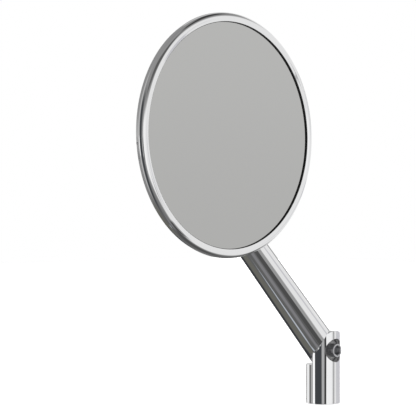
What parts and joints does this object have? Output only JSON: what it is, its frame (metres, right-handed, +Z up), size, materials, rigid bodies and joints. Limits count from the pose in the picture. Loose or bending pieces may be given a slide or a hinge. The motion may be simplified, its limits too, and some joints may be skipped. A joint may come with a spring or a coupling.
{
  "type": "shaving mirror",
  "caption": "Round framed shaving mirror on a tapered arm that swings on a half-lapped pivot at the top of a short round post, with a roll and tilt joint behind the mirror.",
  "frame": {"origin": "centre of the post's lower end, at the mouth of the support bore", "axes": "+Z up along the post; the mirror faces -Y; +X to the right as the user sees it"},
  "size_m": [0.3064, 0.0833, 0.3399],
  "materials": {
    "polished_chrome": "mirror-polished chrome plate",
    "silvered_glass": "silvered flat glass with a grey tone",
    "stainless_steel": "machined stainless steel",
    "spring_steel": "bright spring steel",
    "black_steel": "blackened steel",
    "bearing_brass": "turned brass",
    "satin_aluminium": "satin machined aluminium",
    "nylon": "moulded nylon",
    "foam": "closed-cell foam sheet",
    "gasket_rubber": "black rubber"
  },
  "bodies": {
    "post": {"post": "polished_chrome", "post_bush": "nylon", "post_grub_screws": "black_steel", "pivot_bush": "bearing_brass"},
    "arm": {"arm": "polished_chrome", "pivot_screw": "stainless_steel", "pivot_washer": "stainless_steel", "pivot_insert": "bearing_brass", "pivot_nut": "stainless_steel", "friction_disc": "nylon", "arm_core": "satin_aluminium", "arm_end_cap": "polished_chrome", "stem_bush": "bearing_brass", "stem_collar": "polished_chrome"},
    "stem": {"stem": "polished_chrome", "stem_bolt": "stainless_steel", "stem_spring_washer": "spring_steel"},
    "head": {"head_bracket": "satin_aluminium", "bracket_screws": "stainless_steel", "tilt_pin": "stainless_steel", "tilt_nut": "stainless_steel", "tilt_washers": "nylon", "rear_pan": "polished_chrome", "front_ring": "polished_chrome", "mirror_glass": "silvered_glass", "backing_pad": "foam", "glass_seal": "gasket_rubber", "glass_gasket": "gasket_rubber", "ring_grub_screws": "black_steel"}
  },
  "joints": [
    {"name": "arm_swing", "type": "hinge", "parent": "post", "child": "arm", "pos_m": [0, 0, 0.0493], "axis": [0, 1, 0], "range_deg": [-10, 100]},
    {"name": "head_roll", "type": "hinge", "parent": "arm", "child": "stem", "pos_m": [-0.19057, 0, 0.23986], "axis": [0, 1, 0], "continuous": true},
    {"name": "head_tilt", "type": "hinge", "parent": "stem", "child": "head", "pos_m": [-0.19057, -0.028, 0.23986], "axis": [1, 0, 0], "range_deg": [-20, 20]}
  ]
}
